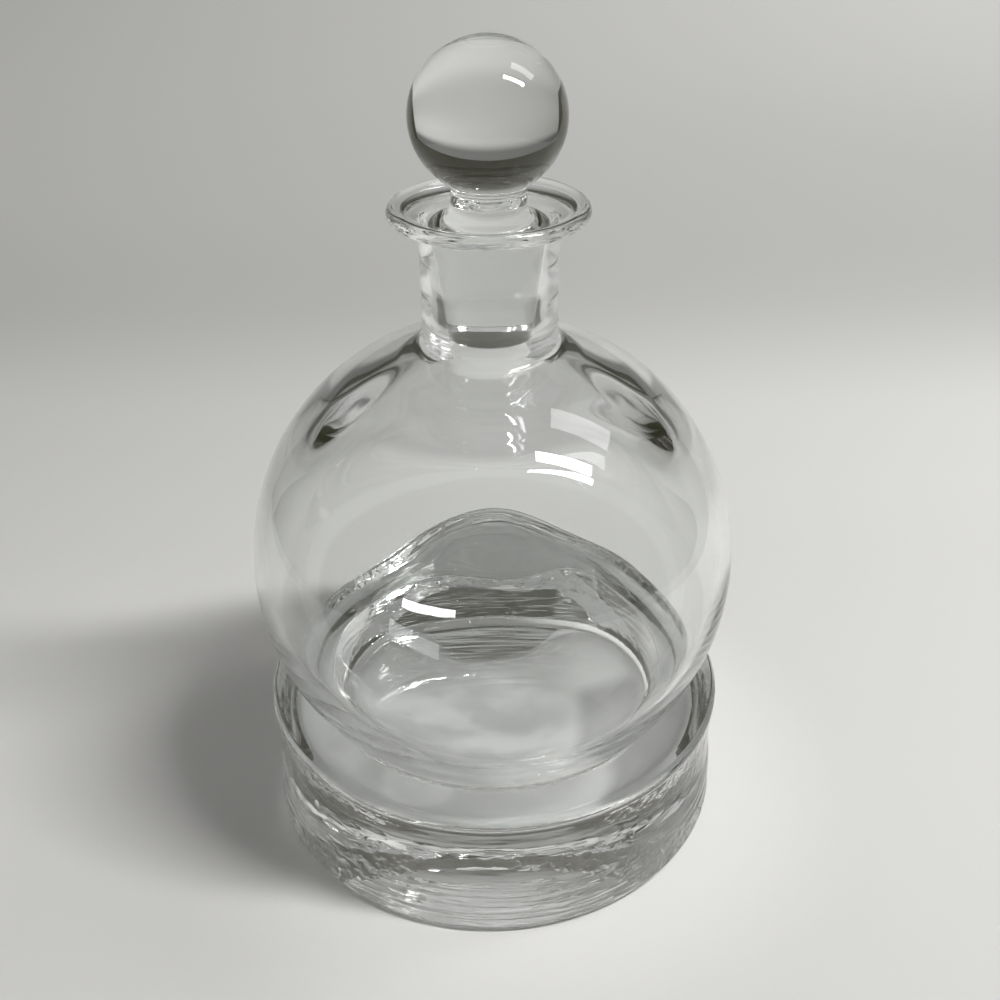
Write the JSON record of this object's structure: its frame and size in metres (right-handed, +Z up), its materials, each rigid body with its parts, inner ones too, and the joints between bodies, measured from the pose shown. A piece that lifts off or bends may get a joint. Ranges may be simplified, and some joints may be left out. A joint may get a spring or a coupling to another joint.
{
  "type": "decanter",
  "caption": "Clear glass decanter: a thin round globe on a heavy solid foot, a short neck with a flared lip, and a solid ball stopper with a tapered plug that lifts out.",
  "frame": {"origin": "centre of the flat underside of the foot, on the axis of the neck, globe and foot", "axes": "+Z up along the axis that every form is turned about; the part is the same all round, so +X and +Y are free, and -Y faces the camera"},
  "size_m": [0.136, 0.136, 0.2252],
  "materials": {
    "clear body glass": "fire polished",
    "clear stopper glass": "polished"
  },
  "bodies": {
    "body": {"decanter_body": "clear body glass"},
    "stopper": {"stopper": "clear stopper glass"}
  },
  "joints": [
    {"name": "stopper_lift", "type": "slide", "parent": "body", "child": "stopper", "axis": [0, 0, 1], "range_m": [0, 0.04]}
  ]
}
